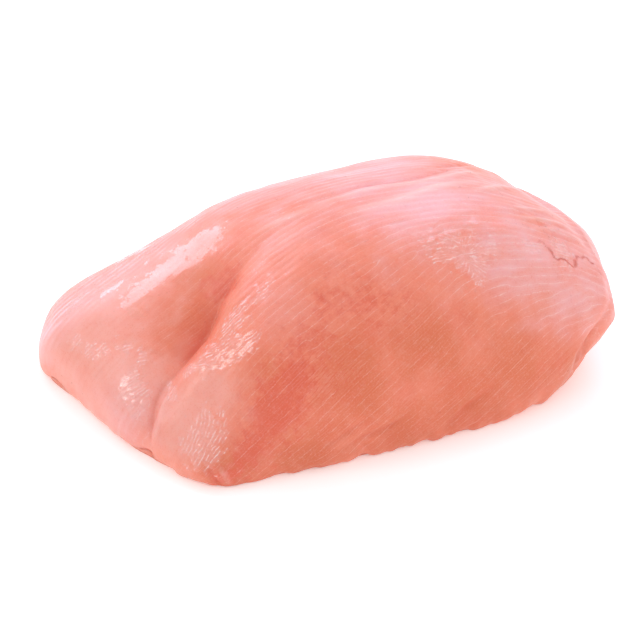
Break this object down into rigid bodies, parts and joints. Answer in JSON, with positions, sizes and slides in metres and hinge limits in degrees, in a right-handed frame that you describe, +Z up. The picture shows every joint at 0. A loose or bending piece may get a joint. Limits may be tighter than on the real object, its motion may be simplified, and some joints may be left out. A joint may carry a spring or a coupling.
{
  "type": "raw boneless turkey breast",
  "caption": "Thick piece of raw skinless boneless turkey breast, domed on top with a cleft between two lobes and flat underneath.",
  "frame": {"origin": "on the flat underside, at the middle of the plan's bounding box", "axes": "+X along the piece from its thin cut end to its high rounded end, +Y across it to the far side, +Z up out of the surface it lies on"},
  "size_m": [0.2344, 0.1448, 0.0796],
  "materials": {
    "raw_flesh": "moist raw flesh, salmon pink, soft gloss under a thin clear membrane"
  },
  "bodies": {
    "root": {"turkey_breast": "raw_flesh"}
  },
  "joints": []
}
